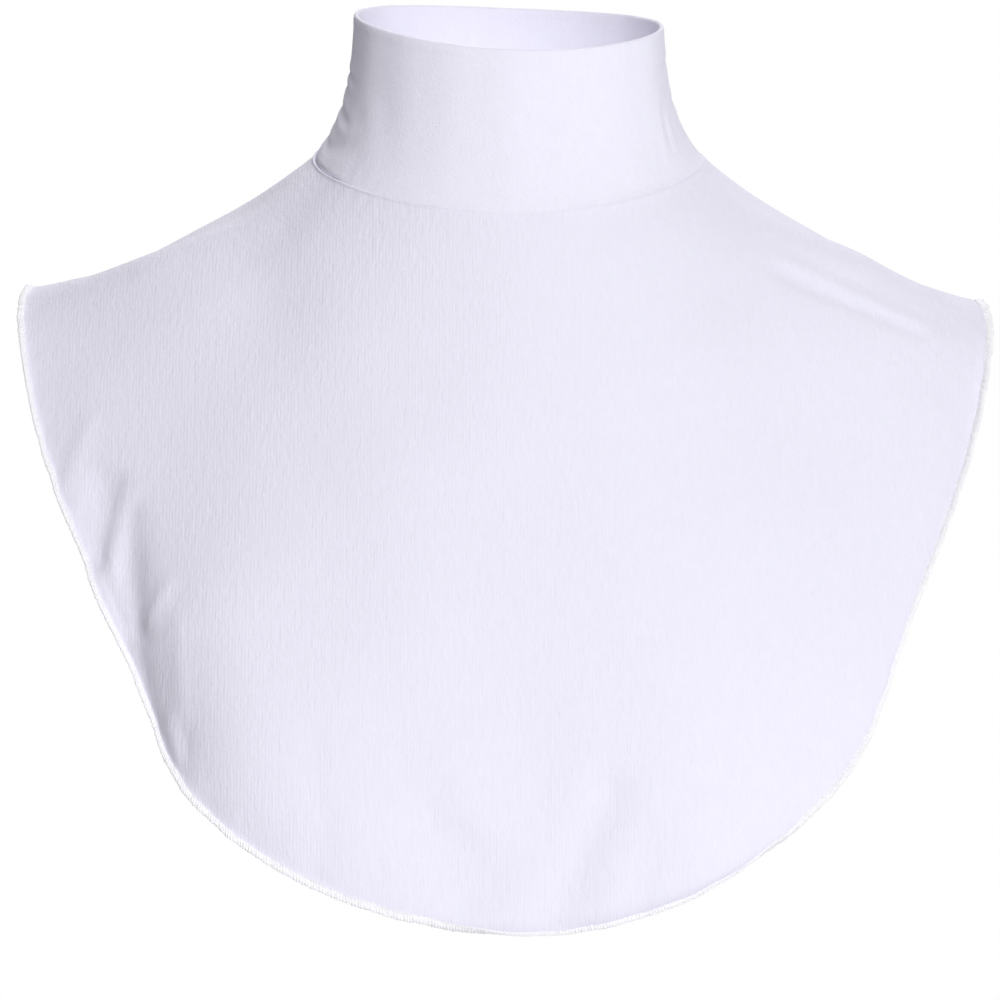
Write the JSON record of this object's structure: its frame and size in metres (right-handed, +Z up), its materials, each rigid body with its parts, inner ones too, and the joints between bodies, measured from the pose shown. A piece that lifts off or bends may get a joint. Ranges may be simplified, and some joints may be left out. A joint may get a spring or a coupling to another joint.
{
  "type": "neck cover",
  "caption": "White jersey false turtleneck: a standing collar on a short yoke with a stitched free edge, held in the form it has when worn.",
  "frame": {"origin": "middle of the neck seam, level with its two shoulder points, where the cover sits on the neck", "axes": "+Z up along the neck, the front towards -Y, the wearer's left towards +X"},
  "size_m": [0.3536, 0.2086, 0.3339],
  "materials": {
    "collar_jersey": "fine smooth jersey, doubled, white",
    "yoke_jersey": "fine smooth jersey with faint upright wales, white",
    "edge_thread": "white overlock thread in close slanting stitches"
  },
  "bodies": {
    "root": {"collar": "collar_jersey", "yoke": "yoke_jersey", "edge_overlock": "edge_thread"}
  },
  "joints": []
}
